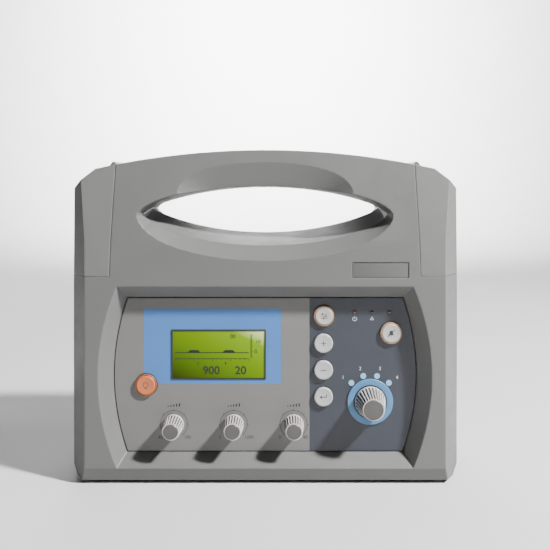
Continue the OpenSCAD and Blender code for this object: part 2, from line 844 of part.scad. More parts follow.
// Rubber feet: four under the case and four taller ones on the back
module feet() {
    color([0.08, 0.08, 0.08]) {
        for (f = bottom_feet_at) translate([f[0], f[1], 0]) {
            cylinder(h = z_bottom, r = 9);
            cylinder(h = 8.8, r = foot_pin_r);
        }
        for (f = rear_feet_at) {
            rod(f, y_rear, y_rear + rear_foot_h, 8);
            rod(f, y_rear - 4.8, y_rear + 1, foot_pin_r);
        }
    }
}

module case_screws() {
    color([0.75, 0.75, 0.75]) for (b = boss_at) {
        rod(b, y_part + 12, y_part + 16, 3.8);
        rod(b, y_part - 14, y_part + 12.5, 1.65);
    }
}

front_housing();
rear_housing();
housing_gasket();
left_corner_cap();
right_corner_cap();
label_plate();
panel_plate();
overlay_left();
overlay_right();
screen_mask();
lcd_bezel();
lcd_window();
lcd_module();
control_board();
key_switches();
status_leds();
mode_ring();
mode_dots();
potentiometers();
mode_switch();
shaft_nuts();
fio2_knob();
fio2_cap();
fio2_shaft();
volume_knob();
volume_cap();
volume_shaft();
rate_knob();
rate_cap();
rate_shaft();
mode_knob();
mode_cap();
mode_shaft();
lamp_button();
set_button();
plus_button();
minus_button();
enter_button();
silence_button();
main_board();
board_screws();
battery_pack();
battery_bracket();
gas_manifold();
pressure_regulator();
flow_valve();
relief_valve();
pressure_sensor();
gas_tubes();
patient_outlet();
sampling_ports();
oxygen_inlet();
speaker();
intake_filter();
intake_grille();
power_switch();
power_rocker();
charger_inlet();
feet();
case_screws();
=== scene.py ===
"""Portable ventilator: the looks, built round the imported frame."""
import bpy
import bmesh
import json
from math import cos, pi, radians, sin
from mathutils import Matrix, Vector


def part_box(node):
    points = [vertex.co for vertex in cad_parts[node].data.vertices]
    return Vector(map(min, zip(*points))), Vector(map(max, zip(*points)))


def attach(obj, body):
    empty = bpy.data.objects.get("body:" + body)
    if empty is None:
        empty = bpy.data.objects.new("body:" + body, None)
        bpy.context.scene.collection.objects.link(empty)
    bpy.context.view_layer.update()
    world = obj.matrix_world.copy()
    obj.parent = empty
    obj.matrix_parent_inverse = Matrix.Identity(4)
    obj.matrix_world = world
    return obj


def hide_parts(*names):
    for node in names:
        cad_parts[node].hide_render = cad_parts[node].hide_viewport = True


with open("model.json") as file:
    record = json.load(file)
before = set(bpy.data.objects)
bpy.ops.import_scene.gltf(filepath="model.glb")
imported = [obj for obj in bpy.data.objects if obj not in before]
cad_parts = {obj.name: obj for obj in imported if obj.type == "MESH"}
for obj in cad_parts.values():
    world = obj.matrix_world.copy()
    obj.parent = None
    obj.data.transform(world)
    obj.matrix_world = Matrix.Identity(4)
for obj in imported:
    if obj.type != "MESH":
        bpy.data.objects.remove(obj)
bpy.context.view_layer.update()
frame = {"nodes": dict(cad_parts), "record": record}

MM = 0.001
NODES = frame["nodes"]


# ---------- places taken from the frame ----------

def middle(node):
    lo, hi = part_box(node)
    return (Vector(lo) + Vector(hi)) / 2


def front(node):
    """The depth of a node's front side."""
    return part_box(node)[0][1]


FILM_Y = front("overlay_left")
FACE_Y = front("front_housing")
PRINT_TOP, PRINT_BASE = FILM_Y - 0.03 * MM, FILM_Y + 0.02 * MM   # print stands a hair proud
NUMERAL_Y = FILM_Y - 0.01 * MM

LAMP_LOW, LAMP_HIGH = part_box("status_leds")
LAMP_R = (LAMP_HIGH[2] - LAMP_LOW[2]) / 2
LAMP_Z = (LAMP_LOW[2] + LAMP_HIGH[2]) / 2
LAMPS = [(x, LAMP_Z) for x in
         (LAMP_LOW[0] + LAMP_R, (LAMP_LOW[0] + LAMP_HIGH[0]) / 2, LAMP_HIGH[0] - LAMP_R)]


# ---------- materials ----------

class Surface:
    """A procedural material, built up from noise, wear and grain."""

    def __init__(self, name, colour, rough, metallic=0.0, coat=0.0):
        self.mat = bpy.data.materials.new(name)
        self.mat.use_nodes = True
        self.tree = self.mat.node_tree
        self.shader = self.tree.nodes["Principled BSDF"]
        self.shader.inputs["Base Color"].default_value = (*colour, 1)
        self.shader.inputs["Roughness"].default_value = rough
        self.shader.inputs["Metallic"].default_value = metallic
        self.shader.inputs["Coat Weight"].default_value = coat
        self.colour = colour
        self.rough = rough
        self.place = self.node("ShaderNodeTexCoord").outputs["Object"]

    def node(self, kind, **inputs):
        made = self.tree.nodes.new(kind)
        for key, value in inputs.items():
            made.inputs[key].default_value = value
        return made

    def link(self, a, b):
        self.tree.links.new(a, b)

    def noise(self, scale, detail=2.0, rough=0.5):
        made = self.node("ShaderNodeTexNoise", Scale=scale, Detail=detail, Roughness=rough)
        self.link(self.place, made.inputs["Vector"])
        return made.outputs["Fac"]

    def spread(self, fac, low, high, at=(0.35, 0.65)):
        """Maps a factor onto two values."""
        made = self.node("ShaderNodeMapRange")
        made.inputs["From Min"].default_value = at[0]
        made.inputs["From Max"].default_value = at[1]
        made.inputs["To Min"].default_value = low
        made.inputs["To Max"].default_value = high
        self.link(fac, made.inputs["Value"])
        return made.outputs["Result"]

    def mottle(self, amount, scale):
        """Slight clouding of the colour, and a little in the gloss."""
        ramp = self.node("ShaderNodeValToRGB")
        dark = [c * (1 - amount) for c in self.colour]
        light = [min(1, c * (1 + amount)) for c in self.colour]
        ramp.color_ramp.elements[0].color = (*dark, 1)
        ramp.color_ramp.elements[1].color = (*light, 1)
        ramp.color_ramp.elements[0].position = 0.3
        ramp.color_ramp.elements[1].position = 0.7
        self.link(self.noise(scale, 4), ramp.inputs["Fac"])
        self.link(ramp.outputs["Color"], self.shader.inputs["Base Color"])
        self.base = ramp.outputs["Color"]
        low, high = self.rough * 0.9, min(1, self.rough * 1.1)
        self.link(self.spread(self.noise(scale * 3, 3), low, high),
                  self.shader.inputs["Roughness"])
        return self

    def worn_edges(self, light, amount=0.6, reach=0.6 * MM):
        """Corners rubbed a little lighter, as on handled plastic, and lighter too as a painted
        highlight along the edges.
        """
        geometry = self.node("ShaderNodeNewGeometry")
        rounded = self.node("ShaderNodeBevel", Radius=reach)
        rounded.samples = 4
        turned = self.node("ShaderNodeVectorMath")
        turned.operation = "DOT_PRODUCT"
        self.link(rounded.outputs["Normal"], turned.inputs[0])
        self.link(geometry.outputs["Normal"], turned.inputs[1])
        edge = self.spread(turned.outputs["Value"], amount, 0, at=(0.86, 0.99))
        patches = self.node("ShaderNodeMath")
        patches.operation = "MULTIPLY"
        self.link(edge, patches.inputs[0])
        self.link(self.spread(self.noise(60, 3), 0.2, 1), patches.inputs[1])
        mix = self.node("ShaderNodeMix")
        mix.data_type = "RGBA"
        mix.inputs["B"].default_value = (*light, 1)
        self.link(patches.outputs[0], mix.inputs["Factor"])
        self.link(self.base, mix.inputs["A"])
        self.link(mix.outputs["Result"], self.shader.inputs["Base Color"])
        return self

    def grain(self, strength, scale, distance=0.0002, edge=0.0):
        """Fine texture of a moulding tool or of a coating, with edges softened."""
        bump = self.node("ShaderNodeBump", Strength=strength, Distance=distance)
        if edge:
            soft = self.node("ShaderNodeBevel", Radius=edge)
            soft.samples = 6
            self.link(soft.outputs["Normal"], bump.inputs["Normal"])
        self.link(self.noise(scale, 3, 0.6), bump.inputs["Height"])
        self.link(bump.outputs["Normal"], self.shader.inputs["Normal"])
        return self

    def brushed(self, strength, scale):
        """Turning marks round a knob's axis, in its own frame."""
        rings = self.node("ShaderNodeTexWave", Scale=scale, Distortion=0.6, Detail=2.0)
        rings.wave_type = "RINGS"
        rings.rings_direction = "Y"
        self.link(self.place, rings.inputs["Vector"])
        bump = self.node("ShaderNodeBump", Strength=strength, Distance=0.0001)
        self.link(rings.outputs["Fac"], bump.inputs["Height"])
        self.link(bump.outputs["Normal"], self.shader.inputs["Normal"])
        return self


def plastic(name, colour, rough=0.5, grain=0.25, scale=1500, wear_and_highlight=None, mottle=0.04,
            edge=0.0):
    """Moulded plastic; wear gives the colour of rubbed edges, also a painted edge highlight;
    edge their softened radius.
    """
    made = Surface(name, colour, rough).mottle(mottle, 25).grain(grain, scale, edge=edge)
    if wear_and_highlight:
        made.worn_edges(wear_and_highlight)
    return made.mat


def printed_ink(name, colour):
    """Matt screen print."""
    return Surface(name, colour, 0.55).mottle(0.05, 300).grain(0.05, 3000).mat


def metal(name, colour, rough):
    """Bare metal with a faint cast or machined texture."""
    return Surface(name, colour, rough, metallic=1.0).mottle(0.05, 60).grain(0.05, 900).mat


FINISH = {
    "case_front": plastic("case_front", (0.103, 0.103, 0.1005), 0.43, 0.3, 1700,
                          wear_and_highlight=(0.2, 0.2, 0.195), mottle=0.018, edge=1.4 * MM),
    "case_rear": plastic("case_rear", (0.098, 0.098, 0.096), 0.47, 0.3, 1700,
                         wear_and_highlight=(0.18, 0.18, 0.175), mottle=0.018, edge=1.4 * MM),
    # the cap's pale edge colour is wear and also a painted highlight along its seams
    "cap_grey": plastic("cap_grey", (0.117, 0.117, 0.114), 0.45, 0.3, 1700,
                        wear_and_highlight=(0.38, 0.38, 0.37), mottle=0.018, edge=0.9 * MM),
    "seal_black": plastic("seal_black", (0.02, 0.02, 0.02), 0.7),
    "label_grey": plastic("label_grey", (0.085, 0.085, 0.083), 0.4, 0.06, 900),
    "panel_grey": plastic("panel_grey", (0.02, 0.02, 0.02), 0.5, 0.2, 1200),
    "film_grey": plastic("film_grey", (0.128, 0.126, 0.12), 0.42, 0.12, 2600, mottle=0.03),
    "film_slate": plastic("film_slate", (0.027, 0.0305, 0.041), 0.4, 0.12, 2600),
    "film_blue": plastic("film_blue", (0.045, 0.145, 0.37), 0.4, 0.1, 2600, mottle=0.03),
    "bezel_black": plastic("bezel_black", (0.012, 0.012, 0.013), 0.35, 0.08, 2000),
    "lcd_green": Surface("lcd_green", (0.28, 0.42, 0.02), 0.25, coat=0.4)
        .mottle(0.08, 20).grain(0.02, 3000).mat,
    "board_green": plastic("board_green", (0.01, 0.09, 0.03), 0.4, 0.3, 700),
    "part_black": plastic("part_black", (0.015, 0.015, 0.015), 0.45, 0.2, 1500),
    "led_window": plastic("led_window", (0.02, 0.006, 0.006), 0.2, 0.02, 900),
    "ring_blue": plastic("ring_blue", (0.06, 0.17, 0.32), 0.36, 0.06, 1800, mottle=0.06),
    "dot_blue": printed_ink("dot_blue", (0.2, 0.42, 0.6)),
    "steel": metal("steel", (0.55, 0.55, 0.56), 0.32),
    "knob_grey": plastic("knob_grey", (0.4, 0.37, 0.36), 0.38, 0.1, 1500,
                         wear_and_highlight=(0.55, 0.53, 0.51)),
    "cap_plate": Surface("cap_plate", (0.078, 0.074, 0.071), 0.42, metallic=0.2)
        .mottle(0.05, 90).brushed(0.08, 160).mat,
    "button_orange": plastic("button_orange", (0.42, 0.115, 0.04), 0.4, 0.06, 1800),
    "button_cream": plastic("button_cream", (0.35, 0.34, 0.325), 0.42, 0.08, 1800),
    "button_white": plastic("button_white", (0.35, 0.352, 0.355), 0.42, 0.08, 1800),
    "battery_wrap": plastic("battery_wrap", (0.03, 0.06, 0.2), 0.25, 0.1, 300),
    "alloy": metal("alloy", (0.62, 0.63, 0.65), 0.38),
    "brass": metal("brass", (0.6, 0.42, 0.16), 0.3),
    "silicone": plastic("silicone", (0.6, 0.66, 0.68), 0.35, 0.05, 400),
    "fitting_white": plastic("fitting_white", (0.66, 0.68, 0.7), 0.3, 0.05, 900),
    "port_blue": plastic("port_blue", (0.07, 0.16, 0.45), 0.3, 0.05, 900),
    "filter_white": plastic("filter_white", (0.72, 0.72, 0.68), 0.9, 0.8, 500),
    "grille_dark": plastic("grille_dark", (0.06, 0.06, 0.06), 0.5, 0.25, 1500),
    "foot_rubber": plastic("foot_rubber", (0.012, 0.012, 0.012), 0.8, 0.3, 900),
}
INK_DARK = printed_ink("ink_dark", (0.008, 0.008, 0.01))
INK_PALE = printed_ink("ink_pale", (0.5, 0.53, 0.58))
INK_LCD = printed_ink("ink_lcd", (0.002, 0.004, 0.001))
RIM_WARM = plastic("rim_warm", (0.3, 0.17, 0.09), 0.4, 0.08, 1800)
RIM_AMBER = plastic("rim_amber", (0.22, 0.07, 0.02), 0.4, 0.08, 1800)
INK_KEY = printed_ink("ink_key", (0.02, 0.02, 0.022))
KNOB_PAINTED_SHADE = plastic("knob_painted_shade", (0.05, 0.047, 0.045), 0.5, 0.1, 1500)   # painted shade in the flutes
LAMP_TINTS = (("red", (0.1, 0.012, 0.01)), ("black", (0.006, 0.006, 0.007)),
              ("smoke", (0.02, 0.02, 0.024)))
SLOT_OF = {s["node"]: s["material_slot"] for s in frame["record"]["subparts"]}


# ---------- CAD nodes that show as they are ----------

def crisp_above(angle):
    """A node group that shades smooth except across edges sharper than an angle."""
    group = bpy.data.node_groups.new("crisp", "GeometryNodeTree")
    group.interface.new_socket("Geometry", in_out="INPUT", socket_type="NodeSocketGeometry")
    group.interface.new_socket("Geometry", in_out="OUTPUT", socket_type="NodeSocketGeometry")
    nodes, links = group.nodes, group.links
    start, end = nodes.new("NodeGroupInput"), nodes.new("NodeGroupOutput")
    edge = nodes.new("GeometryNodeInputMeshEdgeAngle")
    under = nodes.new("FunctionNodeCompare")
    under.operation = "LESS_THAN"
    under.inputs["B"].default_value = angle
    links.new(edge.outputs["Unsigned Angle"], under.inputs["A"])
    faces = nodes.new("GeometryNodeSetShadeSmooth")
    edges = nodes.new("GeometryNodeSetShadeSmooth")
    edges.domain = "EDGE"
    links.new(start.outputs[0], faces.inputs["Geometry"])
    links.new(faces.outputs[0], edges.inputs["Geometry"])
    links.new(under.outputs[0], edges.inputs["Shade Smooth"])
    links.new(edges.outputs[0], end.inputs[0])
    return group


CRISP = crisp_above(radians(30))
CRISP_FINE = crisp_above(radians(14))
SHELLS = ("front_housing", "rear_housing", "left_corner_cap", "right_corner_cap")
WELD_WITHIN = 2e-6
FLAT_WITHIN = radians(0.5)
BEVEL_ABOVE = radians(28)


def dress(node, bevel=0.0, segments=4):
    """Gives a CAD node its material and, where asked, rounded edges."""
    piece = NODES[node]
    piece.data.materials.clear()
    piece.data.materials.append(FINISH[SLOT_OF[node]])
    weld = piece.modifiers.new("weld", "WELD")
    weld.merge_threshold = WELD_WITHIN
    if bevel or node in SHELLS:
        flat = piece.modifiers.new("flat", "DECIMATE")
        flat.decimate_type = "DISSOLVE"
        flat.angle_limit = FLAT_WITHIN
    if bevel:
        soft = piece.modifiers.new("edges", "BEVEL")
        soft.width = bevel
        soft.segments = segments
        soft.limit_method = "ANGLE"
        soft.angle_limit = BEVEL_ABOVE
        soft.miter_outer = "MITER_ARC"
    group = CRISP_FINE if node in SHELLS else CRISP
    piece.modifiers.new("crisp", "NODES").node_group = group
    if node in SHELLS:
        even = piece.modifiers.new("normals", "WEIGHTED_NORMAL")
        even.keep_sharp = True


# bevel width, and its segments where they aren't 4
EDGES = {
    "label_plate": (0.2 * MM,), "panel_plate": (0.3 * MM,),
    "mode_ring": (0.5 * MM, 5), "power_switch": (0.5 * MM,),
    "power_rocker": (0.5 * MM,), "charger_inlet": (0.3 * MM,), "feet": (0.8 * MM,),
    "intake_grille": (0.3 * MM,), "patient_outlet": (0.4 * MM,),
    "oxygen_inlet": (0.4 * MM,), "sampling_ports": (0.2 * MM,),
    "case_screws": (0.3 * MM,), "battery_pack": (1.0 * MM,),
}
for name in NODES:
    dress(name, *EDGES.get(name, ()))


# ---------- making pieces ----------

def piece(name, bm, finishes, body, slot, at=(0, 0, 0), smooth=True):
    """An object from a bmesh, riding on a body."""
    bmesh.ops.recalc_face_normals(bm, faces=bm.faces)
    mesh = bpy.data.meshes.new(name)
    bm.to_mesh(mesh)
    bm.free()
    made = bpy.data.objects.new(name, mesh)
    bpy.context.scene.collection.objects.link(made)
    made.location = at
    for finish in finishes:
        mesh.materials.append(finish)
    if smooth:
        made.modifiers.new("crisp", "NODES").node_group = CRISP
    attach(made, body)
    return made


def lathe(bm, profile, steps, radius_at=None, painted_shade_at=None):
    """Turns [(radius, y), ...] about the Y axis; radius 0 closes the form."""
    rings = []
    for k, (r, y) in enumerate(profile):
        if r == 0:
            rings.append([bm.verts.new((0, y, 0))])
            continue
        ring = []
        for i in range(steps):
            a = 2 * pi * i / steps
            rr = r - (radius_at(a, k) if radius_at else 0)
            ring.append(bm.verts.new((rr * sin(a), y, rr * cos(a))))
        rings.append(ring)
    for k, (low, high) in enumerate(zip(rings, rings[1:])):
        for i in range(steps):
            j = (i + 1) % steps
            a, b = low[i % len(low)], low[j % len(low)]
            c, d = high[j % len(high)], high[i % len(high)]
            corners = [v for n, v in enumerate((a, b, c, d)) if v not in (a, b, c, d)[:n]]
            face = bm.faces.new(corners)
            # the faces picked here take the second material, a painted shade
            if painted_shade_at and painted_shade_at(i, k):
                face.material_index = 1
    return rings


def prism(bm, outline, y0, y1):
    """A flat outline of (x, z) given thickness from y0 to y1."""
    front_ring = [bm.verts.new((x, y0, z)) for x, z in outline]
    back_ring = [bm.verts.new((x, y1, z)) for x, z in outline]
    count = len(outline)
    bm.faces.new(front_ring)
    bm.faces.new(back_ring[::-1])
    for i in range(count):
        j = (i + 1) % count
        bm.faces.new((front_ring[j], front_ring[i], back_ring[i], back_ring[j]))


def bar(bm, x0, z0, x1, z1, y0, y1):
    prism(bm, [(x0, z0), (x1, z0), (x1, z1), (x0, z1)], y0, y1)


def arc_band(bm, at, r, width, start, end, y0, y1, steps=48):
    """A flat curved band; angles in degrees from +X towards +Z."""
    turns = [radians(start + (end - start) * i / steps) for i in range(steps + 1)]
    outer = [(at[0] + (r + width / 2) * cos(a), at[1] + (r + width / 2) * sin(a))
             for a in turns]
    inner = [(at[0] + (r - width / 2) * cos(a), at[1] + (r - width / 2) * sin(a))
             for a in turns]
    for i in range(steps):
        prism(bm, [outer[i], outer[i + 1], inner[i + 1], inner[i]], y0, y1)


CAP_HEIGHT = 0.7   # a numeral's height as a share of the built-in font's size
NUMERAL_THICK = 0.02 * MM


def numeral(name, text, height, at, finish, body, bold=0.0):
    """Raised numerals in the built-in font, centred on at = (x, y, z)."""
    curve = bpy.data.curves.new(name, "FONT")
    curve.body = text
    curve.size = height / CAP_HEIGHT
    curve.extrude = NUMERAL_THICK / 2
    curve.offset = bold
    curve.align_x, curve.align_y = "CENTER", "CENTER"
    holder = bpy.data.objects.new(name + "_curve", curve)
    bpy.context.scene.collection.objects.link(holder)
    seen = holder.evaluated_get(bpy.context.evaluated_depsgraph_get())
    mesh = bpy.data.meshes.new_from_object(seen)
    bpy.data.objects.remove(holder)
    mesh.transform(Matrix.Rotation(radians(90), 4, "X"))
    mesh.materials.clear()
    mesh.materials.append(finish)
    made = bpy.data.objects.new(name, mesh)
    bpy.context.scene.collection.objects.link(made)
    made.location = at
    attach(made, body)
    return made


# ---------- knobs ----------

GROOVE = (0, 0.1, 0.75, 1, 0.9, 1, 0.75, 0.1)   # depth round one flute, as a share
GROOVE_DEPTH = 0.75 * MM
PAINTED_SHADE_STEPS = (2, 3, 4, 5)                           # the steps of a flute painted dark as shade
SKIRT_END = 5                                   # rows of the profile under the flutes
BODY_ROWS = 8


def knob_profile(r, face_r, height):
    """A grip's outline from its foot to its face, and the row where the rim starts."""
    rim, skirt, step = 0.7 * MM, 1.6 * MM, 0.5 * MM
    neck_r = r - 0.3 * MM
    profile = [(0, 0), (r - 0.4 * MM, 0), (r, -0.4 * MM), (r, -skirt)]
    for i in range(BODY_ROWS + 1):
        t = i / BODY_ROWS
        profile.append((neck_r - (neck_r - face_r) * t,
                        -skirt - step - t * (height - skirt - step - rim)))
    top = len(profile)
    for turn in (30, 60, 90):
        profile.append((face_r - rim + rim * cos(radians(turn)),
                        -height + rim - rim * sin(radians(turn))))
    profile += [(face_r - 1.1 * MM, -height), (face_r - 1.2 * MM, -height + step),
                (0, -height + step)]
    return profile, top


def knob(key, r, face_r, height, flutes):
    """A tapered knob with deep flutes and a plate let into its face."""
    lo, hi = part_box(key + "_knob")
    at = ((lo[0] + hi[0]) / 2, hi[1], (lo[2] + hi[2]) / 2)
    steps = flutes * len(GROOVE)
    profile, top = knob_profile(r, face_r, height)

    def depth(a, k):
        fade = 1 if SKIRT_END <= k < top else 0.5 if k == top else 0
        share = GROOVE[round(a / (2 * pi) * steps) % len(GROOVE)]
        return share * fade * GROOVE_DEPTH

    # faces in the deep steps of the flutes take the dark material as painted shade
    def shaded(i, k):
        return SKIRT_END - 1 <= k < top and i % len(GROOVE) in PAINTED_SHADE_STEPS

    bm = bmesh.new()
    lathe(bm, profile, steps, depth, shaded)
    made = piece(key + "_grip", bm, (FINISH["knob_grey"], KNOB_PAINTED_SHADE),
                 key + "_control", "knob_grey", at)
    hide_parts(key + "_knob")

    bm = bmesh.new()
    plate_r, seat, shoulder, crown = face_r - 1.25 * MM, 0.6 * MM, 0.1 * MM, 0.4 * MM
    lathe(bm, [(0, -height + seat), (plate_r, -height + seat), (plate_r, -height - shoulder),
               (plate_r - 0.25 * MM, -height - 0.35 * MM), (plate_r * 0.5, -height - crown),
               (0, -height - crown)], 96)
    made = piece(key + "_plate", bm, (FINISH["cap_plate"],), key + "_control",
                 "cap_plate", at)
    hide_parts(key + "_cap")


for key in ("fio2", "volume", "rate"):
    knob(key, 8 * MM, 6.8 * MM, 17 * MM, 20)
knob("mode", 12 * MM, 8.6 * MM, 20 * MM, 26)


# ---------- keys ----------

KEY_RIMS = {"lamp": RIM_AMBER, "set": RIM_WARM, "silence": RIM_WARM}
KEY_R = {"lamp": 8.5 * MM, "set": 7.9 * MM, "silence": 8.4 * MM}
SMALL_KEY_R = 7.4 * MM
KEY_SIDES = 72


def sign_on(key, at, face_y):
    """The generic sign printed on a key's face, drawn in mm about the key's middle."""
    bm = bmesh.new()
    y0, y1 = face_y - 0.03 * MM, face_y + 0.05 * MM
    over = 0.01 * MM   # lifts a stroke that crosses another

    def shape(outline, lift=0.0):
        prism(bm, [(at[0] + u * MM, at[1] + v * MM) for u, v in outline], y0 - lift, y1)

    def stroke(u0, v0, u1, v1, lift=0.0):
        shape([(u0, v0), (u1, v0), (u1, v1), (u0, v1)], lift)

    if key in ("plus", "minus"):
        stroke(-2, -0.28, 2, 0.28)
    if key == "plus":
        stroke(-0.28, 0.28, 0.28, 2)
        stroke(-0.28, -2, 0.28, -0.28)
    if key == "lamp":
        arc_band(bm, (at[0], at[1] + 0.5 * MM), 1.9 * MM, 0.45 * MM, -50, 230, y0, y1, 28)
        for v in (-1.7, -2.5):
            stroke(-1, v, 1, v + 0.45)
    if key == "set":
        for v, slider in ((1.6, -1.2), (0, 1.3), (-1.6, -0.3)):
            stroke(-2.8, v - 0.2, 2.8, v + 0.2)
            stroke(slider - 0.45, v - 0.75, slider + 0.45, v + 0.75, over)
    if key == "enter":
        shape([(-3, 0), (-1.3, -1.5), (-1.3, 1.5)])
        stroke(-1.3, -0.3, 2.6, 0.3)
        stroke(2, 0.3, 2.6, 2.2)
    if key == "silence":
        shape([(-2.3, -1.4), (2.3, -1.4), (1.5, -0.4), (1.4, 1.2), (0.7, 2.1), (-0.7, 2.1),
               (-1.4, 1.2), (-1.5, -0.4)])
        stroke(-0.6, -2.2, 0.6, -1.7)
        shape([(-3, -2.5), (-2.5, -3), (3, 2.5), (2.5, 3)], over)
    piece(key + "_sign", bm, (INK_KEY,), key + "_key", "seal_black", smooth=False)


def key_profile(key_r, depth):
    """A key's outline from its hidden foot over the rounded edge into the dish."""
    round_r = 0.9 * MM
    profile = [(0, depth), (key_r, depth), (key_r, round_r)]
    for turn in (20, 40, 60, 80):
        profile.append((key_r - round_r + round_r * cos(radians(turn)),
                        round_r - round_r * sin(radians(turn))))
    return profile + [(key_r - round_r - 0.5 * MM, 0), (key_r * 0.7, 0.12 * MM),
                      (key_r * 0.4, 0.2 * MM), (0, 0.22 * MM)]


def push_key(key):
    """A key with a rounded edge and a shallow dish, in its moulded rim."""
    lo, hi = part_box(key + "_button")
    face = lo[1]
    x, z = (lo[0] + hi[0]) / 2, (lo[2] + hi[2]) / 2
    at = (x, face, z)
    r = KEY_R.get(key, SMALL_KEY_R)
    slot = SLOT_OF[key + "_button"]
    has_rim = key in KEY_RIMS
    key_r = r - (1.0 * MM if has_rim else 0.1 * MM)
    depth = 5.0 * MM
    bm = bmesh.new()
    lathe(bm, key_profile(key_r, depth), KEY_SIDES)
    made = piece(key + "_top", bm, (FINISH[slot],), key + "_key", slot, at)
    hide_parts(key + "_button")
    sign_on(key, (x, z), face + 0.2 * MM)
    if has_rim:
        inner, outer = r - 0.9 * MM, r - 0.02 * MM
        top = 0.5 * MM
        bm = bmesh.new()
        lathe(bm, [(inner, depth), (outer, depth), (outer, top + 0.25 * MM),
                   (outer - 0.2 * MM, top), (inner + 0.15 * MM, top),
                   (inner, top + 0.2 * MM), (inner, depth)], KEY_SIDES)
        piece(key + "_rim", bm, (KEY_RIMS[key],), key + "_key", slot, at)
    # a thin ring of dark ink round each key paints the shade in the gap between key and film
    gap_in, gap_out = r + 0.05 * MM, r + 0.5 * MM
    gap_top, gap_base = FILM_Y - face - 0.05 * MM, FILM_Y - face + 0.2 * MM
    bm = bmesh.new()
    lathe(bm, [(gap_in, gap_base), (gap_in, gap_top), (gap_out, gap_top),
               (gap_out, gap_base), (gap_in, gap_base)], KEY_SIDES)
    piece(key + "_gap_painted_shade", bm, (INK_DARK,), "case", "seal_black", at)


for key in ("lamp", "set", "plus", "minus", "enter", "silence"):
    push_key(key)


# ---------- display ----------

SCREEN_FRAME = 1.1 * MM
# name, text, place across and down the window, height as a share of it, boldness in mm
READINGS = (
    ("r_ten", "10", 0.93, 0.23, 0.075, 0.05),
    ("r_zero", "0", 0.905, 0.44, 0.085, 0.05),
    ("r_press", "00", 0.655, 0.12, 0.085, 0.05),
    ("r_two", "2", 0.275, 0.69, 0.065, 0.05),
    ("r_four", "4", 0.575, 0.69, 0.065, 0.05),
    ("r_vol", "900", 0.42, 0.845, 0.17, 0.16),
    ("r_rate", "20", 0.74, 0.845, 0.17, 0.16),
)
BREATHS = (0.16, 0.54)   # where each breath starts on the trace
TIME_TICKS = 16
PRESSURE_TICKS = 12


def display():
    """The lit screen: its frame, its field, and what the field shows."""
    lo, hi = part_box("lcd_bezel")
    window = (lo[0] + SCREEN_FRAME, lo[2] + SCREEN_FRAME,
              hi[0] - SCREEN_FRAME, hi[2] - SCREEN_FRAME)
    back = FILM_Y + 0.02 * MM
    field_y = FILM_Y - 0.12 * MM
    screen_frame((lo[0], lo[2], hi[0], hi[2]), window, lo[1] + 0.1 * MM, back)

    tuck = 0.05 * MM   # the field runs on under the frame
    x0, z0, x1, z1 = window
    bm = bmesh.new()
    bar(bm, x0 - tuck, z0 - tuck, x1 + tuck, z1 + tuck, field_y, back)
    made = piece("screen_field", bm, (screen_glow(window),), "case", "lcd_green", smooth=False)
    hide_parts("lcd_window")
    screen_print(window, field_y)


def screen_frame(rim, window, y0, y1):
    """Four mitred bars joined into one frame with rounded edges."""
    def corners(x0, z0, x1, z1):
        return [(x0, z0), (x1, z0), (x1, z1), (x0, z1)]

    outer, inner = corners(*rim), corners(*window)
    bm = bmesh.new()
    for i in range(4):
        j = (i + 1) % 4
        prism(bm, [outer[i], outer[j], inner[j], inner[i]], y0, y1)
    bmesh.ops.remove_doubles(bm, verts=bm.verts, dist=1e-6)
    inside = [f for f in bm.faces if all(len(e.link_faces) > 2 for e in f.edges)]
    bmesh.ops.delete(bm, geom=inside, context="FACES_ONLY")
    made = piece("screen_frame", bm, (FINISH["bezel_black"],), "case", "bezel_black")
    rounded = made.modifiers.new("edges", "BEVEL")
    rounded.width, rounded.segments = 0.2 * MM, 2
    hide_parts("lcd_bezel")


def screen_print(window, field_y):
    """The trace, its two scales and the readings, placed by shares of the window."""
    x0, z0, x1, z1 = window
    wide, high = x1 - x0, z1 - z0
    ink_y0, ink_y1 = field_y - 0.02 * MM, field_y + 0.01 * MM
    bm = bmesh.new()

    def point(u, v):
        return x0 + u * wide, z1 - v * high

    def mark(u0, v0, u1, v1):
        bar(bm, *point(u0, v1), *point(u1, v0), ink_y0, ink_y1)

    mark(0.02, 0.452, 0.83, 0.47)    # the trace's base line
    for u in BREATHS:
        prism(bm, [point(u, 0.456), point(u + 0.14, 0.456), point(u + 0.115, 0.405),
                   point(u + 0.03, 0.405)], ink_y0, ink_y1)
    mark(0.02, 0.583, 0.83, 0.597)   # the time scale
    for i in range(TIME_TICKS + 1):
        u = 0.03 + 0.8 * i / TIME_TICKS
        mark(u, 0.595, u + 0.006, 0.615 if i % 4 else 0.64)
    for i in range(PRESSURE_TICKS + 1):
        v = 0.075 + 0.475 * i / PRESSURE_TICKS
        mark(0.852, v, 0.875 if i % 3 == 0 else 0.865, v + 0.014)
    mark(0.849, 0.075, 0.857, 0.563)
    piece("screen_trace", bm, (INK_LCD,), "case", "seal_black", smooth=False)

    for name, text, u, v, tall, bold in READINGS:
        x, z = point(u, v)
        numeral(name, text, tall * high, (x, field_y - 0.01 * MM, z), INK_LCD, "case",
                bold=bold * MM)


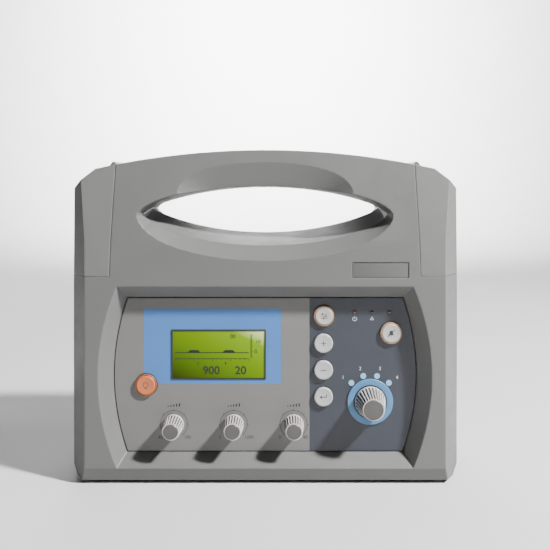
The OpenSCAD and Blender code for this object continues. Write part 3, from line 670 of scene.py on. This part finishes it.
def screen_glow(window):
    """Backlit green, brighter towards the upper right and dim at the lower left."""
    made = Surface("screen_glow", (0.1, 0.2, 0.005), 0.55)
    made.shader.inputs["Specular IOR Level"].default_value = 0.12
    made.shader.inputs["Emission Strength"].default_value = 0.25
    x0, z0, x1, z1 = window
    axes = made.node("ShaderNodeSeparateXYZ")
    made.link(made.place, axes.inputs[0])
    across = made.spread(axes.outputs["X"], 0.0, 0.5, at=(x0, x1))
    up = made.spread(axes.outputs["Z"], 0.0, 0.5, at=(z0, z1))
    total = made.node("ShaderNodeMath")
    made.link(across, total.inputs[0])
    made.link(up, total.inputs[1])
    ramp = made.node("ShaderNodeValToRGB")
    stops = ramp.color_ramp.elements
    stops[0].color = (0.014, 0.022, 0.0, 1)
    stops[1].color = (0.55, 0.62, 0.25, 1)
    stops[1].position = 1.0
    stops.new(0.3).color = (0.052, 0.105, 0.0, 1)
    stops.new(0.82).color = (0.13, 0.24, 0.0, 1)
    made.link(total.outputs[0], ramp.inputs["Fac"])
    for socket in ("Base Color", "Emission Color"):
        made.link(ramp.outputs["Color"], made.shader.inputs[socket])
    made.grain(0.03, 4000)
    return made.mat


display()


# ---------- print on the panel ----------

DIALS = ("fio2", "volume", "rate")
DIAL_ENDS = {"fio2": ("40", "100"), "volume": ("0", "1200"), "rate": ("0", "40")}
SCALE_R, TICK_R = 10.6 * MM, 11.9 * MM
SCALE_FROM, SCALE_TO, TICK_EVERY = -48, 228, 46   # degrees
MODE_TURNS = (135, 105, 75, 45)
MODE_MARK_R, MODE_MARK_STRETCH = 26.5 * MM, 1.12


def dial_print():
    """Scale rings with their end numbers, and the numbers of the mode dots."""
    bm = bmesh.new()
    for key in DIALS:
        low, high = DIAL_ENDS[key]
        c = middle(key + "_shaft")
        arc_band(bm, (c.x, c.z), SCALE_R, 0.35 * MM, SCALE_FROM, SCALE_TO, PRINT_TOP, PRINT_BASE)
        for turn in range(SCALE_FROM, SCALE_TO + 1, TICK_EVERY):
            a = radians(turn)
            corners = ((SCALE_R, -0.015), (TICK_R, -0.013), (TICK_R, 0.013), (SCALE_R, 0.015))
            tick = [(c.x + r * cos(a + s), c.z + r * sin(a + s)) for r, s in corners]
            prism(bm, tick, PRINT_TOP, PRINT_BASE)
        for text, side in ((low, -10.5), (high, 9.2 + 1.3 * (len(high) - 2))):
            numeral(key + "_end_" + text, text, 2.5 * MM,
                    (c.x + side * MM, NUMERAL_Y, c.z - 10.2 * MM), INK_DARK, "case")
    piece("dial_scales", bm, (INK_DARK,), "case", "seal_black", smooth=False)

    c = middle("mode_shaft")
    for k, turn in enumerate(MODE_TURNS, start=1):
        a = radians(turn)
        numeral("mode_mark_" + str(k), str(k), 2.6 * MM,
                (c.x + MODE_MARK_R * cos(a) * MODE_MARK_STRETCH, NUMERAL_Y,
                 c.z + MODE_MARK_R * sin(a)), INK_PALE, "case")


def level_signs():
    """A rising row of bars over each dial."""
    bm = bmesh.new()
    for key in DIALS:
        c = middle(key + "_shaft")
        base = c.z + 13.6 * MM
        for k in range(5):
            x = c.x + (k - 2) * 2.2 * MM
            bar(bm, x - 0.5 * MM, base, x + 0.5 * MM, base + (0.8 + 0.45 * k) * MM,
                PRINT_TOP, PRINT_BASE)
    piece("level_signs", bm, (INK_DARK,), "case", "seal_black", smooth=False)


def lamp_signs():
    """A power sign and a warning triangle under the first two lamps.

    The third would lie under the silence key.
    """
    bm = bmesh.new()
    (x, z), (tri_x, tri_z) = [(x, z - 5.2 * MM) for x, z in LAMPS[:2]]
    arc_band(bm, (x, z), 1.5 * MM, 0.4 * MM, 125, 415, PRINT_TOP, PRINT_BASE, 24)
    bar(bm, x - 0.2 * MM, z + 0.2 * MM, x + 0.2 * MM, z + 2.1 * MM,
        PRINT_TOP - 0.01 * MM, PRINT_BASE)
    outer_r, inner_r = 1.75 * MM, 0.68 * 1.75 * MM
    outer, inner = [[(tri_x + r * cos(radians(a)), tri_z + r * sin(radians(a)))
                     for a in (90, 210, 330)] for r in (outer_r, inner_r)]
    for i in range(3):
        j = (i + 1) % 3
        prism(bm, [outer[i], outer[j], inner[j], inner[i]], PRINT_TOP, PRINT_BASE)
    piece("lamp_signs", bm, (INK_PALE,), "case", "label_grey", smooth=False)


def lamps():
    """Three domed indicator lamps, each in a thin dark collar."""
    face = front("status_leds")
    sides, depth, rise = 40, 1.5 * MM, 0.3 * MM
    dome = LAMP_R - 0.45 * MM
    inner, outer, top = LAMP_R - 0.42 * MM, LAMP_R, 0.12 * MM
    for (name, tint), (x, z) in zip(LAMP_TINTS, LAMPS):
        glass = Surface("lamp_" + name, tint, 0.18, coat=0.5).mottle(0.05, 400)
        profile = [(0, depth), (dome, depth)]
        for turn in range(0, 90, 15):
            profile.append((dome * cos(radians(turn)), rise - rise * sin(radians(turn))))
        bm = bmesh.new()
        lathe(bm, profile + [(0, 0)], sides)
        made = piece("lamp_" + name, bm, (glass.grain(0.02, 2000).mat,), "case", "led_window",
                     (x, face, z))
        if name == "red":
            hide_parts("status_leds")
        bm = bmesh.new()
        lathe(bm, [(inner, depth), (outer, depth), (outer, top), (inner, top),
                   (inner, depth)], sides)
        piece("collar_" + name, bm, (FINISH["part_black"],), "case", "part_black",
              (x, face, z))


dial_print()
level_signs()
lamp_signs()
lamps()


# ---------- studio ----------

LOOK_AT = Vector((0, FACE_Y, 0.12))
BACKDROP = Vector((0, 3.0, 1.0))
WORLD_LIGHT = 0.07   # the even light on the object
WORLD_SEEN = 0.8     # the brightness of the empty background
# name, direction from the object, distance, size, power, aimed at, spread in degrees
LIGHTS = (
    ("key", (0.63, -0.33, 0.68), 1.8, 0.16, 150, LOOK_AT, 180),
    ("fill", (-0.2, -0.9, 0.5), 1.8, 1.4, 1.2, LOOK_AT, 180),
    ("back", (-0.35, 0.95, 0.6), 1.8, 1.0, 16, LOOK_AT, 180),
    ("wall", (0.0, 0.45, 0.9), 1.5, 1.2, 320, BACKDROP, 100),
)


def sweep():
    """A pale floor that curves up into a wall behind the object."""
    near, bend_y, bend_r, top, half = -5.0, 2.2, 0.8, 5.0, 6.0
    curve = [(bend_y + bend_r * sin(radians(a)), bend_r - bend_r * cos(radians(a)))
             for a in range(0, 91, 6)]
    profile = [(near, 0)] + curve + [(bend_y + bend_r, top)]
    mesh = bpy.data.meshes.new("floor")
    points = [(x, y, z) for y, z in profile for x in (-half, half)]
    mesh.from_pydata(points, [], [(k, k + 1, k + 3, k + 2)
                                  for k in range(0, len(points) - 2, 2)])
    mesh.polygons.foreach_set("use_smooth", [True] * len(mesh.polygons))
    floor = bpy.data.objects.new("floor", mesh)
    bpy.context.scene.collection.objects.link(floor)
    mesh.materials.append(Surface("floor", (0.5, 0.5, 0.5), 0.9).mottle(0.01, 3).mat)


def surroundings():
    """Weak even light from all round, behind a brighter background for the camera."""
    world = bpy.data.worlds.new("studio")
    world.use_nodes = True
    nodes, links = world.node_tree.nodes, world.node_tree.links
    light = nodes["Background"]
    light.inputs["Color"].default_value = (1, 1, 1, 1)
    light.inputs["Strength"].default_value = WORLD_LIGHT
    seen = nodes.new("ShaderNodeBackground")
    seen.inputs["Strength"].default_value = WORLD_SEEN
    rays = nodes.new("ShaderNodeLightPath")
    choose = nodes.new("ShaderNodeMixShader")
    links.new(rays.outputs["Is Camera Ray"], choose.inputs["Fac"])
    links.new(light.outputs[0], choose.inputs[1])
    links.new(seen.outputs[0], choose.inputs[2])
    links.new(choose.outputs[0], nodes["World Output"].inputs["Surface"])
    bpy.context.scene.world = world


def lights():
    """A small hard key from the upper right, weak fills, and light for the wall."""
    for name, way, far, size, power, aim, spread in LIGHTS:
        data = bpy.data.lights.new(name, "AREA")
        data.shape = "DISK"
        data.size = size
        data.energy = power
        data.spread = radians(spread)
        lamp = bpy.data.objects.new(name, data)
        bpy.context.scene.collection.objects.link(lamp)
        lamp.location = LOOK_AT + Vector(way).normalized() * far
        lamp.rotation_euler = (aim - lamp.location).to_track_quat("-Z", "Y").to_euler()


CAMERA_BACK = 0.530     # from the front face
CAMERA_SIDE = 0.0076
CAMERA_HEIGHT = 0.229
CAMERA_LENS, CAMERA_SENSOR = 45.6, 36
CAMERA_SHIFT = -0.164   # keeps the camera level and the object low in the picture


def camera():
    """A level camera in front of the panel, slightly to the right."""
    data = bpy.data.cameras.new("camera")
    data.sensor_width = CAMERA_SENSOR
    data.lens = CAMERA_LENS
    data.shift_y = CAMERA_SHIFT
    holder = bpy.data.objects.new("camera", data)
    bpy.context.scene.collection.objects.link(holder)
    holder.location = (CAMERA_SIDE, FACE_Y - CAMERA_BACK, CAMERA_HEIGHT)
    holder.rotation_euler = (radians(90), 0, 0)
    bpy.context.scene.camera = holder


camera()
sweep()
surroundings()
lights()
